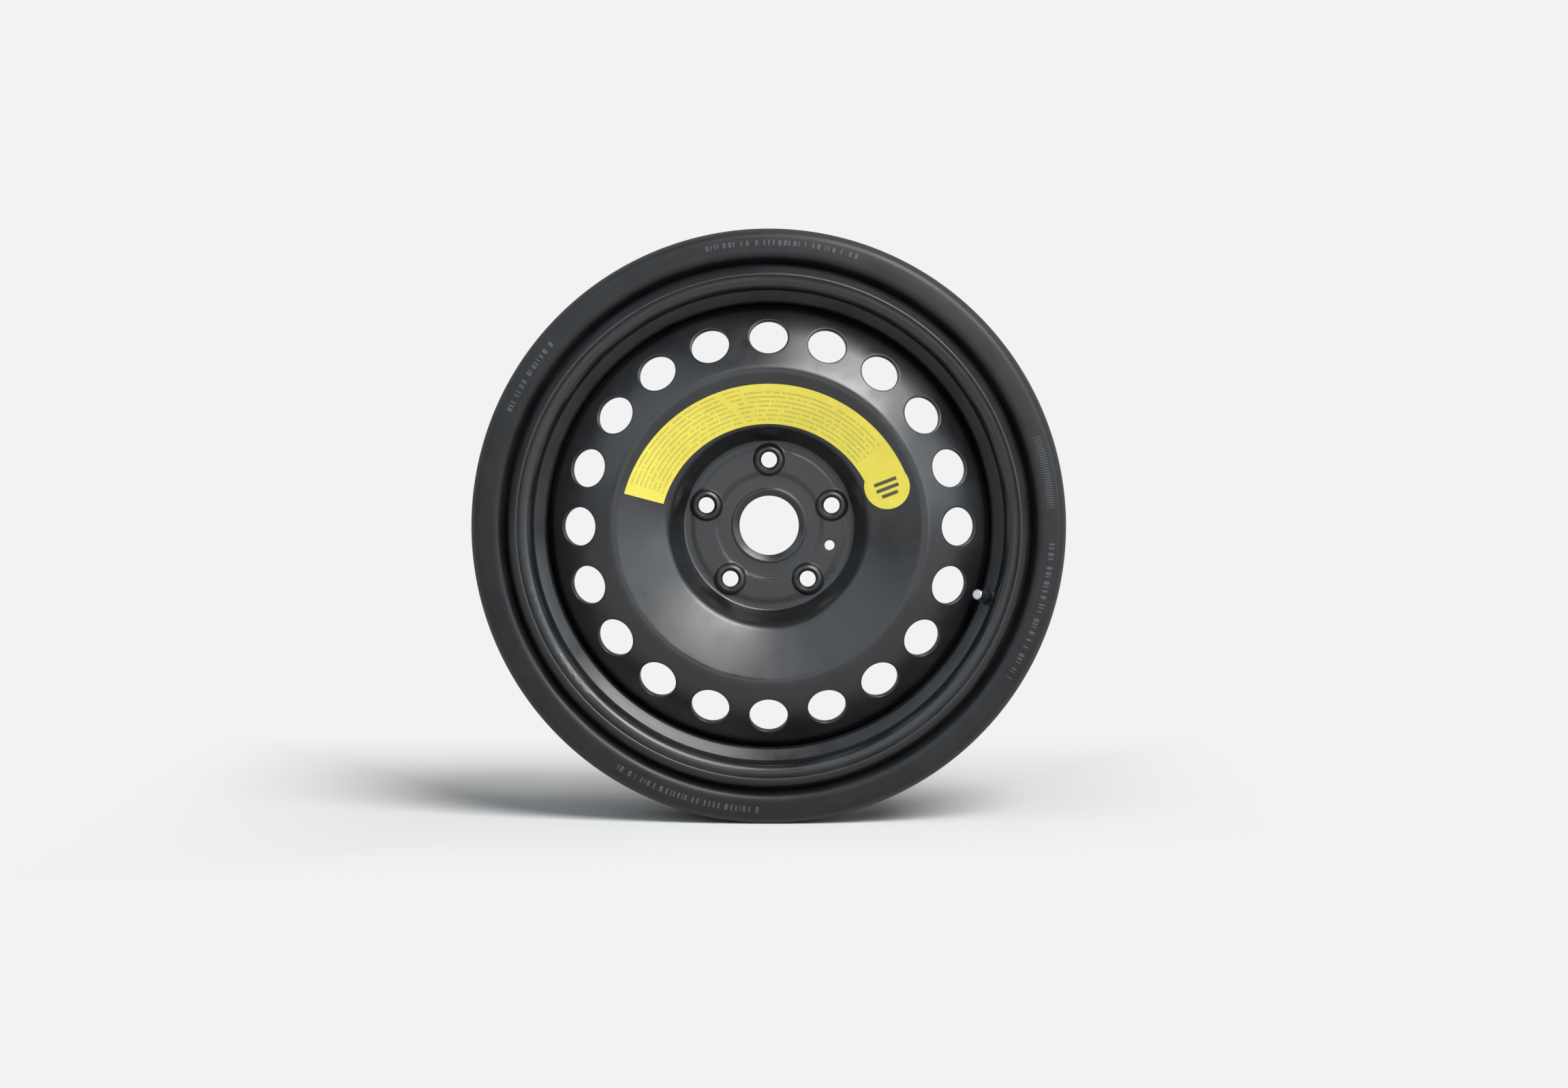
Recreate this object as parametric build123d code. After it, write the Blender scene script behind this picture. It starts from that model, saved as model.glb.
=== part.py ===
"""Space saver spare wheel: a pressed steel wheel with a narrow tyre, an information label and a tyre valve.

The origin is the wheel's centre. Y is the spin axis, the outboard face looks towards -Y, and Z is up.
Sections are drawn with x as the radius and y along the spin axis, and are spun about that axis.
"""
import os
from math import atan2, cos, radians, sin, tan

from build123d import *

# Rim, rolled from one sheet
BEAD_SEAT_DIAMETER = 436.6
RIM_WIDTH = 101.6
RIM_SHEET = 2.8
FLANGE_HEIGHT = 22.3
FLANGE_CURL_RADIUS = 4.5
FLANGE_LIP_REACH = 13.0
FLANGE_LIP_DROP = 12.0
BEAD_HEEL_RADIUS = 6.5
BEAD_SEAT_WIDTH = 17.5
BEAD_SEAT_TAPER = 5.0
HUMP_HEIGHT = 1.2
HUMP_WIDTH = 7.0
HUMP_RADIUS = 3.5
WELL_DEPTH = 13.3
WELL_OUTBOARD_SLOPE = 55.0
WELL_INBOARD_SLOPE = 45.0
WELL_CORNER_RADIUS = 4.0

# Hub of the disc, with five bolt holes and a locating hole on a raised land
DISC_SHEET = 4.5
HUB_OFFSET = 7.5
CENTRE_BORE = 54.1
BORE_LAND = 2.3
BORE_FLARE = 5.15
BORE_LIP_WIDTH = 2.4
BORE_LIP_HEIGHT = 0.9
BORE_LIP_RAMP = 1.2
BOLT_COUNT = 5
BOLT_CIRCLE = 120.0
BOLT_HOLE = 14.4
BOLT_SEAT_WIDTH = 2.6
BOLT_SEAT_DEPTH = 2.4
BOSS_HEIGHT = 4.0
BOSS_SIDE_RUN = 4.6
BOSS_FOOT_LEAN = 19.0
BOSS_RECESS_RUN = 4.2
BOSS_RECESS_DEPTH = 3.5
LAND_INNER_MARGIN = 11.5
LAND_OUTER_MARGIN = 9.0
LAND_HEIGHT = 1.2
LAND_RAMP = 2.4
LAND_INSIDE_BEND = 0.5
LOCATING_HOLE = 9.0
LOCATING_INSET = 2.0
HUB_MARGIN = 19.0
HUB_CORNER_RADIUS = 6.0

# Bowl, ridge, vented ring and skirt of the disc
BOWL_WALL_RUN = 12.5
BOWL_CORNER_ROUNDING = 12.0
BOWL_SLOPE = 20.0
RIDGE_PROUD = 43.0
RIDGE_ROUNDING = 11.0
VENT_RING_WIDTH = 52.1
VENT_RING_SLOPE = 30.0
VENT_RING_CAMBER = 2.0
VENT_RING_BEND_SHARE = 0.86
VENT_COUNT = 20
VENT_DIAMETER = 34.7
VENT_EDGE_MARGIN = 22.5
DISC_EDGE_INSET = 6.25
DISC_EDGE_ROUNDING = 3.4
SKIRT_RUN = 14.0
SKIRT_SEAT_LENGTH = 16.0
SKIRT_ROUNDING = 6.0
DISC_FIT = 0.1

# Welds between the skirt and the well
WELD_COUNT = 6
WELD_LEG = 4.0
WELD_CROWN = 2.4
WELD_ARC = 38.0
WELD_FIT = 0.05

# Tyre
TYRE_SECTION_HEIGHT = 50.2
TYRE_OVERHANG = 10.2
TYRE_SHOULDER_RADIUS = 10.0
TYRE_SHOULDER_DROP = 3.5
TYRE_BULGE_RADIUS = 8.0
TYRE_BULGE_RUN = 6.5
TYRE_GROOVE_REACH = 7.6
TYRE_GROOVE_DEPTH = 14.5
TYRE_GROOVE_ROUNDING = 3.0
TYRE_TOE_GAP = 2.0
TYRE_BEAD_LEAN = 3.0
TYRE_SIDEWALL = 7.0
TYRE_INNER_FLARE = 10.0
TYRE_CROWN = 11.0
TYRE_INNER_ROUNDING = 7.0
TYRE_FIT = 0.15
TREAD_GROOVE_PITCH = 25.0
TREAD_GROOVE_WIDTH = 7.0
TREAD_GROOVE_DEPTH = 5.0

# Information label, stuck in the bowl
LABEL_DROP = 6.0
LABEL_INNER_MARGIN = 7.3
LABEL_OUTER_MARGIN = 6.5
LABEL_START = 21.6
LABEL_END = 164.5
LABEL_SPOT_RADIUS = 20.5
LABEL_SPOT_INSET = 1.8
LABEL_THICKNESS = 0.3
LABEL_GLUE = 0.02

# Valve, measured along its own axis from the outboard face of the well wall
VALVE_ANGLE = -18.0
VALVE_SEAT_DROP = 4.25
VALVE_HOLE = 11.5
RUBBER_COLLAR = 1.65
RUBBER_COLLAR_LENGTH = 1.6
RUBBER_NECK_TAPER = 0.6
RUBBER_TIP_WALL = 1.45
RUBBER_LENGTH = 10.5
RUBBER_BULB_GRIP = 2.15
RUBBER_BULB_LENGTH = 8.5
STEM_WALL = 1.25
STEM_REACH = 8.1
STEM_FOOT_STEP = 0.75
STEM_FOOT_LENGTH = 2.0
STEM_FOOT_COVER = 1.5
STEM_OUTLET_RADIUS = 1.5
CORE_SEAT_DEPTH = 7.0
CORE_SEAT_LENGTH = 2.2
CORE_SEAT_ROOM = 0.4
CORE_SEAT_STEP = 0.5
CORE_CHAMBER_DEPTH = 16.0
CORE_FIT = 0.05

# Valve core and its sprung pin
PLUG_TOP_DEPTH = 0.8
PLUG_LENGTH = 4.2
PLUG_AIRWAY = 0.55
PLUG_TONGUE_LENGTH = 1.9
PLUG_TONGUE_WALL = 0.45
BARREL_LENGTH = 6.95
BARREL_WALL = 0.45
BARREL_BRIDGE = 0.9
BARREL_COLLAR_LENGTH = 1.25
BARREL_COLLAR_GAP = 0.25
PIN_RADIUS = 0.6
PIN_COLLAR_LENGTH = 0.5
PIN_TOP_DEPTH = 0.25
PIN_CLEARANCE = 0.25
RIVET_HEAD = 0.3
RIVET_LENGTH = 0.35
CUP_WALL = 0.3
CUP_BASE = 0.5
CUP_LIP_DEPTH = 0.3
GASKET_THICKNESS = 0.8
SPRING_ROOM = 0.65
SPRING_WIRE_RADIUS = 0.13
SPRING_TURNS = 4

# Valve cap and its washer
CAP_WALL = 0.9
CAP_TOP = 1.7
CAP_ROUNDING = 1.5
CAP_FIT = 0.25
CAP_RUBBER_GAP = 1.35
CAP_SEAL_THICKNESS = 0.7
CAP_SEAL_BORE_RADIUS = 1.2
CAP_SEAL_GAP = 0.2
FLUTE_COUNT = 12
FLUTE_RADIUS = 0.45
FLUTE_TOP_MARGIN = 2.4


def spin(face):
    """Ring made by turning a section about the wheel's axis."""
    return revolve(face, axis=Axis.Y)


def spin_upright(face):
    """Ring made by turning a section about the Z axis, used for the bosses and the valve."""
    return revolve(face, axis=Axis.Z)


def upright_section(*points):
    """Closed straight-sided section from (radius, height) points, standing in the XZ plane."""
    return Plane.XZ * make_face(Polyline(*points, close=True))


def mirrored(points):
    """The same section points on the inboard side, in reverse order."""
    return [(radius, -axial) for radius, axial in reversed(points)]


def around_axis(part, count, first_angle):
    """Copies of a part, evenly turned about the wheel's axis from a first angle."""
    step = 360.0 / count
    return [Rot(0, -first_angle - i * step, 0) * part for i in range(count)]


# Rim centre line, shared with the pieces that seat on it
half_sheet = RIM_SHEET / 2
flange_at = RIM_WIDTH / 2 + half_sheet
seat_radius = BEAD_SEAT_DIAMETER / 2 - half_sheet
seat_end_at = RIM_WIDTH / 2 - BEAD_SEAT_WIDTH
seat_end_radius = seat_radius - (flange_at - seat_end_at) * tan(radians(BEAD_SEAT_TAPER))
lip_radius = seat_radius + FLANGE_HEIGHT
lip_turn = radians(90) + atan2(FLANGE_LIP_DROP, FLANGE_LIP_REACH)
curl_start_radius = lip_radius - FLANGE_CURL_RADIUS * tan(lip_turn / 2)
hump_at = seat_end_at - HUMP_WIDTH / 2
wall_top_at = seat_end_at - HUMP_WIDTH
well_radius = seat_radius - WELL_DEPTH
wall_height = seat_end_radius - well_radius
wall_foot_out = wall_top_at - wall_height / tan(radians(WELL_OUTBOARD_SLOPE))
wall_foot_in = wall_top_at - wall_height / tan(radians(WELL_INBOARD_SLOPE))
well_inside_radius = well_radius - half_sheet

# Disc centre line, shared with the label and the welds
half_disc = DISC_SHEET / 2
hub_at = -HUB_OFFSET - half_disc
bolt_circle_radius = BOLT_CIRCLE / 2
hub_radius = bolt_circle_radius + HUB_MARGIN
bowl_corner_radius = hub_radius + BOWL_WALL_RUN
skirt_radius = well_inside_radius - DISC_FIT - half_disc
edge_radius = skirt_radius - DISC_EDGE_INSET
ridge_radius = edge_radius - VENT_RING_WIDTH
ridge_at = hub_at - RIDGE_PROUD
bowl_corner_at = ridge_at + (ridge_radius - bowl_corner_radius) * tan(radians(BOWL_SLOPE))
vent_radius = edge_radius - VENT_EDGE_MARGIN
vent_at = ridge_at + (vent_radius - ridge_radius) * tan(radians(VENT_RING_SLOPE - VENT_RING_CAMBER))
edge_at = vent_at + VENT_EDGE_MARGIN * tan(radians(VENT_RING_SLOPE + VENT_RING_CAMBER))
skirt_start_at = edge_at + SKIRT_RUN
skirt_end_at = skirt_start_at + SKIRT_SEAT_LENGTH

# Place and direction of the valve, square to the outboard wall of the well
valve_wall_at = -wall_top_at + VALVE_SEAT_DROP / tan(radians(WELL_OUTBOARD_SLOPE))
valve_inward = cos(radians(WELL_OUTBOARD_SLOPE))
valve_outward = sin(radians(WELL_OUTBOARD_SLOPE))
valve_cos = cos(radians(VALVE_ANGLE))
valve_sin = sin(radians(VALVE_ANGLE))
valve_face_radius = seat_end_radius - VALVE_SEAT_DROP - half_sheet * valve_inward
valve_face_at = valve_wall_at - half_sheet * valve_outward
valve_plane = Plane(
    origin=(valve_face_radius * valve_cos, valve_face_at, valve_face_radius * valve_sin),
    x_dir=(-valve_sin, 0, valve_cos),
    z_dir=(-valve_inward * valve_cos, -valve_outward, -valve_inward * valve_sin),
)


def in_valve(part):
    """A part drawn upright about Z, put into the valve's place."""
    return valve_plane.location * part


def make_rim():
    """Rolled rim: one sheet with curled flanges, tapered bead seats, low humps and a drop well."""
    outboard = [
        (lip_radius - FLANGE_LIP_DROP, -flange_at - FLANGE_LIP_REACH),
        (lip_radius, -flange_at),
        (seat_radius, -flange_at),
        (seat_end_radius, -seat_end_at),
        (seat_end_radius + HUMP_HEIGHT, -hump_at),
        (seat_end_radius, -wall_top_at),
    ]
    foot_out = (well_radius, -wall_foot_out)
    foot_in = (well_radius, wall_foot_in)
    half_bends = [FLANGE_CURL_RADIUS, BEAD_HEEL_RADIUS, HUMP_RADIUS, HUMP_RADIUS, HUMP_RADIUS]
    bends = half_bends + [WELL_CORNER_RADIUS, WELL_CORNER_RADIUS] + half_bends[::-1]
    centre_line = FilletPolyline(*outboard, foot_out, foot_in, *mirrored(outboard), radius=bends)
    sheet = Wire(centre_line.edges()).offset_2d(half_sheet, kind=Kind.ARC, side=Side.BOTH)
    valve_hole = in_valve(Cylinder(VALVE_HOLE / 2, 2 * RUBBER_LENGTH))
    return spin(Face(sheet)) - valve_hole


def make_boss():
    """Domed bolt boss on the front of the land, drawn upright about Z with the land at height 0."""
    crest_radius = BOLT_HOLE / 2 + BOLT_SEAT_WIDTH
    foot_radius = crest_radius + BOSS_SIDE_RUN
    lean = radians(BOSS_FOOT_LEAN)
    outline = make_face(
        Polyline((0, BOSS_HEIGHT), (0, -half_disc), (foot_radius, -half_disc), (foot_radius, 0))
        + TangentArc((foot_radius, 0), (crest_radius, BOSS_HEIGHT), tangent=(-sin(lean), cos(lean)))
        + Line((crest_radius, BOSS_HEIGHT), (0, BOSS_HEIGHT))
    )
    return spin_upright(Plane.XZ * outline)


def make_bolt_cut():
    """Bolt hole with its seat in front and the pressed recess behind, about Z with the land at 0."""
    hole_radius = BOLT_HOLE / 2
    seat_radius_at_crest = hole_radius + BOLT_SEAT_WIDTH
    recess_radius = hole_radius + BOSS_RECESS_RUN
    above = 2 * BOSS_HEIGHT
    land_back = -DISC_SHEET
    behind = land_back - LAND_HEIGHT
    return spin_upright(
        upright_section(
            (0, above),
            (seat_radius_at_crest, above),
            (seat_radius_at_crest, BOSS_HEIGHT),
            (hole_radius, BOSS_HEIGHT - BOLT_SEAT_DEPTH),
            (hole_radius, land_back + BOSS_RECESS_DEPTH),
            (recess_radius, land_back),
            (recess_radius, behind),
            (0, behind),
        )
    )


def make_bore_lip():
    """Section of the hub round the centre bore: a short pilot land, a flared mouth and a low raised lip."""
    bore_radius = CENTRE_BORE / 2
    mouth_radius = bore_radius + BORE_FLARE
    lip_foot_radius = mouth_radius + BORE_LIP_WIDTH
    back = hub_at + half_disc
    front = hub_at - half_disc
    crest = front - BORE_LIP_HEIGHT
    return make_face(
        Polyline(
            (bore_radius, back),
            (bore_radius, back - BORE_LAND),
            (mouth_radius, crest),
            (lip_foot_radius - BORE_LIP_RAMP, crest),
            (lip_foot_radius, front),
            (lip_foot_radius, back),
            close=True,
        )
    )


def make_disc_sheet():
    """The disc before its holes: hub, raised land, bowl, ridge, vented ring and skirt of one sheet."""
    half_ramp = LAND_RAMP / 2
    hub_start = CENTRE_BORE / 2 + BORE_FLARE + BORE_LIP_WIDTH
    land_inner = bolt_circle_radius - LAND_INNER_MARGIN
    land_outer = bolt_circle_radius + LAND_OUTER_MARGIN
    land_bend = half_disc + LAND_INSIDE_BEND
    outer_run = VENT_EDGE_MARGIN / cos(radians(VENT_RING_SLOPE + VENT_RING_CAMBER))
    ring_bend = VENT_RING_BEND_SHARE * outer_run / tan(radians(VENT_RING_CAMBER))
    centre_line = FilletPolyline(
        (hub_start, hub_at),
        (land_inner - half_ramp, hub_at),
        (land_inner + half_ramp, hub_at - LAND_HEIGHT),
        (land_outer - half_ramp, hub_at - LAND_HEIGHT),
        (land_outer + half_ramp, hub_at),
        (hub_radius, hub_at),
        (bowl_corner_radius, bowl_corner_at),
        (ridge_radius, ridge_at),
        (vent_radius, vent_at),
        (edge_radius, edge_at),
        (skirt_radius, skirt_start_at),
        (skirt_radius, skirt_end_at),
        radius=[land_bend] * 4
        + [HUB_CORNER_RADIUS, BOWL_CORNER_ROUNDING, RIDGE_ROUNDING]
        + [ring_bend, DISC_EDGE_ROUNDING, SKIRT_ROUNDING],
    )
    return spin(trace(centre_line, DISC_SHEET) + make_bore_lip())


def make_disc():
    """Pressed disc with its bolt bosses and holes, its locating hole and its ring of round vents."""
    disc = make_disc_sheet()
    land_at = hub_at - LAND_HEIGHT - half_disc
    bolt_place = Location((0, land_at, bolt_circle_radius), (90, 0, 0))
    disc += around_axis(bolt_place * make_boss(), BOLT_COUNT, 0)
    disc -= around_axis(bolt_place * make_bolt_cut(), BOLT_COUNT, 0)

    locating_place = Location((0, hub_at, bolt_circle_radius - LOCATING_INSET), (90, 0, 0))
    locating_cut = locating_place * Cylinder(LOCATING_HOLE / 2, 2 * (DISC_SHEET + LAND_HEIGHT))
    disc -= Rot(0, 90 - VALVE_ANGLE, 0) * locating_cut

    vent_place = Location((0, vent_at, vent_radius), (90 - VENT_RING_SLOPE, 0, 0))
    vent = vent_place * Cylinder(VENT_DIAMETER / 2, VENT_DIAMETER)
    disc -= around_axis(vent, VENT_COUNT, 0)
    return disc


def make_welds():
    """Fillet welds that lie against the skirt's end and the inside of the well."""
    outer = well_inside_radius - WELD_FIT
    start = skirt_end_at + WELD_FIT
    section = make_face(
        Line((outer, start), (outer - WELD_LEG, start))
        + ThreePointArc(
            (outer - WELD_LEG, start),
            (outer - WELD_CROWN, start + WELD_CROWN),
            (outer, start + WELD_LEG),
        )
        + Line((outer, start + WELD_LEG), (outer, start))
    )
    weld = revolve(section, axis=Axis.Y, revolution_arc=WELD_ARC)
    return around_axis(weld, WELD_COUNT, 0)


def make_tyre():
    """Narrow tyre: beads on the rim's seats, a step above each flange, round shoulders, grooved tread."""
    tread = BEAD_SEAT_DIAMETER / 2 + TYRE_SECTION_HEIGHT
    side = RIM_WIDTH / 2 + TYRE_OVERHANG
    heel_at = RIM_WIDTH / 2 - TYRE_FIT
    heel_radius = BEAD_SEAT_DIAMETER / 2 + TYRE_FIT
    bead_width = BEAD_SEAT_WIDTH - TYRE_TOE_GAP
    toe_at = heel_at - bead_width
    toe_radius = heel_radius - bead_width * tan(radians(BEAD_SEAT_TAPER))
    groove_radius = curl_start_radius + TYRE_GROOVE_REACH
    groove_at = side - TYRE_GROOVE_DEPTH
    bulge_radius = groove_radius + TYRE_BULGE_RUN
    outside = [
        (toe_radius, -toe_at),
        (heel_radius, -heel_at),
        (curl_start_radius, -heel_at),
        (groove_radius, -groove_at),
        (bulge_radius, -side),
        (tread, -side + TYRE_SHOULDER_DROP),
    ]
    inner_side = groove_at - TYRE_SIDEWALL
    ceiling = tread - TYRE_CROWN
    inside = [
        (toe_radius, -toe_at),
        (curl_start_radius, -toe_at - TYRE_BEAD_LEAN),
        (groove_radius, -inner_side),
        (ceiling, -inner_side - TYRE_INNER_FLARE),
    ]
    shoulder = min(TYRE_SHOULDER_RADIUS, tread - bulge_radius - TYRE_BULGE_RADIUS)
    heel_bend = BEAD_HEEL_RADIUS - half_sheet + TYRE_FIT
    inner_bend = min(TYRE_INNER_ROUNDING, (ceiling - groove_radius) / 2)
    outer_bends = [heel_bend, TYRE_GROOVE_ROUNDING, TYRE_GROOVE_ROUNDING, TYRE_BULGE_RADIUS, shoulder]
    inner_bends = [TYRE_GROOVE_ROUNDING, inner_bend, inner_bend]
    outer_line = FilletPolyline(*outside, *mirrored(outside), radius=outer_bends + outer_bends[::-1])
    inner_line = FilletPolyline(*inside, *mirrored(inside), radius=inner_bends + inner_bends[::-1])
    section = make_face(outer_line + inner_line)
    groove = Rectangle(2 * TREAD_GROOVE_DEPTH, TREAD_GROOVE_WIDTH)
    for i in (-1, 0, 1):
        section -= Pos(tread, i * TREAD_GROOVE_PITCH) * groove
    return spin(section)


def make_label():
    """Sticker that lies on the cone of the bowl, cut to a band with a round spot at its right end."""
    lean = radians(BOWL_SLOPE)
    inward = -sin(lean)
    forward = -cos(lean)
    near = half_disc + LABEL_GLUE
    far = near + LABEL_THICKNESS
    bowl_line = [(bowl_corner_radius, bowl_corner_at), (ridge_radius, ridge_at)]
    under = [(radius + near * inward, axial + near * forward) for radius, axial in bowl_line]
    over = [(radius + far * inward, axial + far * forward) for radius, axial in reversed(bowl_line)]
    film = spin(make_face(Polyline(*under, *over, close=True)))

    band_inner = bowl_corner_radius + LABEL_INNER_MARGIN
    band_outer = ridge_radius - LABEL_OUTER_MARGIN
    band = Circle(band_outer) - Circle(band_inner)
    reach = 2 * band_outer
    corners = [
        (reach * cos(radians(angle)), reach * sin(radians(angle)))
        for angle in (LABEL_START, (LABEL_START + LABEL_END) / 2, LABEL_END)
    ]
    wedge = make_face(Polyline((0, 0), *corners, close=True))
    spot_at = (band_inner + band_outer) / 2 - LABEL_SPOT_INSET
    spot = Rot(0, 0, LABEL_START) * Pos(spot_at, 0) * Circle(LABEL_SPOT_RADIUS)
    outline = Pos(0, -LABEL_DROP) * ((band & wedge) + spot)
    cutter = extrude(Plane.XZ * outline, amount=2 * RIDGE_PROUD)
    return film & cutter


def tube(inner, outer, low, high):
    """Plain ring about Z between two radii and two heights."""
    return spin_upright(upright_section((inner, low), (outer, low), (outer, high), (inner, high)))


# Radii of the valve's pieces, from the pin outwards
barrel_bore_radius = PIN_RADIUS + SPRING_ROOM
barrel_radius = barrel_bore_radius + BARREL_WALL
cup_radius = barrel_radius - CORE_FIT
seat_bore_radius = barrel_radius + CORE_SEAT_ROOM
core_bore_radius = seat_bore_radius + CORE_SEAT_STEP
stem_radius = core_bore_radius + STEM_WALL
rubber_tip_radius = stem_radius + RUBBER_TIP_WALL
cap_bore_radius = stem_radius + CAP_FIT

# Heights along the valve's axis that several of its pieces share
bulb_end = -RIM_SHEET - RUBBER_BULB_LENGTH
foot_end = bulb_end + STEM_FOOT_COVER
stem_top = RUBBER_LENGTH + STEM_REACH
core_seat_top = stem_top - CORE_SEAT_DEPTH
core_seat_end = core_seat_top - CORE_SEAT_LENGTH
plug_top = stem_top - PLUG_TOP_DEPTH
barrel_top = plug_top - PLUG_LENGTH - CORE_FIT
barrel_shoulder = barrel_top - BARREL_COLLAR_LENGTH
barrel_end = barrel_top - BARREL_LENGTH
bridge_top = barrel_end + BARREL_BRIDGE
pin_collar_bottom = barrel_shoulder
gasket_top = barrel_end - CORE_FIT
gasket_bottom = gasket_top - GASKET_THICKNESS
cup_floor = gasket_bottom - CORE_FIT
cup_bottom = cup_floor - CUP_BASE
cap_bottom = RUBBER_LENGTH + CAP_RUBBER_GAP
cap_seal_bottom = stem_top + CAP_SEAL_GAP
cap_ceiling = cap_seal_bottom + CAP_SEAL_THICKNESS + CORE_FIT
cap_top = cap_ceiling + CAP_TOP


def make_stem_blank():
    """Outside of the brass stem, with the foot that anchors it in the rubber."""
    foot_radius = stem_radius + STEM_FOOT_STEP
    foot_top = foot_end + STEM_FOOT_LENGTH
    return spin_upright(
        upright_section(
            (0, stem_top),
            (stem_radius, stem_top),
            (stem_radius, foot_top),
            (foot_radius, foot_top),
            (foot_radius, foot_end),
            (0, foot_end),
        )
    )


def make_valve_stem():
    """Brass stem, bored for the core, with a tapered seat and a narrow outlet into the tyre."""
    chamber_end = stem_top - CORE_CHAMBER_DEPTH
    bore = spin_upright(
        upright_section(
            (0, stem_top),
            (core_bore_radius, stem_top),
            (core_bore_radius, core_seat_top),
            (seat_bore_radius, core_seat_end),
            (seat_bore_radius, chamber_end),
            (STEM_OUTLET_RADIUS, chamber_end),
            (STEM_OUTLET_RADIUS, foot_end),
            (0, foot_end),
        )
    )
    return make_stem_blank() - bore


def make_valve_body(rim):
    """Rubber valve: a bulb inside the rim and a tapered neck outside it, moulded to the rim's hole."""
    collar_radius = VALVE_HOLE / 2 + RUBBER_COLLAR
    bulb_radius = VALVE_HOLE / 2 + RUBBER_BULB_GRIP
    neck_radius = rubber_tip_radius + RUBBER_NECK_TAPER
    rubber = spin_upright(
        upright_section(
            (0, RUBBER_LENGTH),
            (rubber_tip_radius, RUBBER_LENGTH),
            (neck_radius, 2 * RUBBER_COLLAR_LENGTH),
            (collar_radius, RUBBER_COLLAR_LENGTH),
            (collar_radius, -RIM_SHEET),
            (bulb_radius, -RIM_SHEET - RUBBER_COLLAR_LENGTH),
            (rubber_tip_radius, bulb_end),
            (0, bulb_end),
        )
    )
    outlet = tube(0, STEM_OUTLET_RADIUS, bulb_end, foot_end)
    return in_valve(rubber - make_stem_blank() - outlet) - rim


def make_core_plug():
    """Screwed top of the core, with a tongue across it for the core key."""
    radius = core_bore_radius - CORE_FIT
    bore_radius = PIN_RADIUS + PLUG_AIRWAY
    half_tongue = bore_radius + PLUG_TONGUE_WALL
    plug = tube(bore_radius, radius, plug_top - PLUG_LENGTH, plug_top)
    flat_align = (Align.CENTER, Align.MIN, Align.MAX)
    flat = Pos(0, half_tongue, plug_top) * Box(2 * radius, radius, PLUG_TONGUE_LENGTH, align=flat_align)
    return plug - flat - mirror(flat, Plane.XZ)


def make_core_barrel():
    """Sleeve of the core: a collar above, and a bridge below that carries the spring."""
    collar_radius = core_bore_radius - BARREL_COLLAR_GAP
    bridge_hole = PIN_RADIUS + PIN_CLEARANCE
    return spin_upright(
        upright_section(
            (barrel_bore_radius, barrel_top),
            (collar_radius, barrel_top),
            (collar_radius, barrel_shoulder),
            (barrel_radius, barrel_shoulder),
            (barrel_radius, barrel_end),
            (bridge_hole, barrel_end),
            (bridge_hole, bridge_top),
            (barrel_bore_radius, bridge_top),
        )
    )


def make_core_seal():
    """Ring under the barrel's collar, tapered like the seat that it is pressed into."""
    inner = barrel_radius + CORE_FIT
    outer = core_bore_radius - CORE_FIT
    top = barrel_shoulder - CORE_FIT
    return spin_upright(
        upright_section(
            (inner, top),
            (outer, top),
            (outer, core_seat_top),
            (seat_bore_radius - CORE_FIT, core_seat_end),
            (inner, core_seat_end),
        )
    )


def make_core_pin():
    """Pin through the core, with a collar that the spring lifts and a rivet head that holds the cup."""
    top = stem_top - PIN_TOP_DEPTH
    collar_radius = barrel_bore_radius - PIN_CLEARANCE
    collar_top = pin_collar_bottom + PIN_COLLAR_LENGTH
    rivet_radius = PIN_RADIUS + RIVET_HEAD
    rivet_top = cup_bottom - CORE_FIT
    return spin_upright(
        upright_section(
            (0, top),
            (PIN_RADIUS, top),
            (PIN_RADIUS, collar_top),
            (collar_radius, collar_top),
            (collar_radius, pin_collar_bottom),
            (PIN_RADIUS, pin_collar_bottom),
            (PIN_RADIUS, rivet_top),
            (rivet_radius, rivet_top),
            (rivet_radius, rivet_top - RIVET_LENGTH),
            (0, rivet_top - RIVET_LENGTH),
        )
    )


def make_core_cup():
    """Cup at the pin's foot that holds the gasket against the barrel's end."""
    hole = PIN_RADIUS + CORE_FIT
    lip = gasket_top - CUP_LIP_DEPTH
    inside = cup_radius - CUP_WALL
    return spin_upright(
        upright_section(
            (hole, cup_bottom),
            (cup_radius, cup_bottom),
            (cup_radius, lip),
            (inside, lip),
            (inside, cup_floor),
            (hole, cup_floor),
        )
    )


def make_core_gasket():
    """Rubber ring in the cup, which shuts the barrel's bridge hole."""
    return tube(PIN_RADIUS + CORE_FIT, cup_radius - CUP_WALL - CORE_FIT, gasket_bottom, gasket_top)


def make_core_spring():
    """Coil round the pin, from the barrel's bridge up to the pin's collar."""
    end_room = SPRING_WIRE_RADIUS + CORE_FIT
    low = bridge_top + end_room
    height = pin_collar_bottom - end_room - low
    mean_radius = (PIN_RADIUS + barrel_bore_radius) / 2
    path = Helix(pitch=height / SPRING_TURNS, height=height, radius=mean_radius)
    wire = Plane(origin=path @ 0, z_dir=path % 0) * Circle(SPRING_WIRE_RADIUS)
    return Pos(0, 0, low) * sweep(wire, path=path, is_frenet=True)


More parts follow.
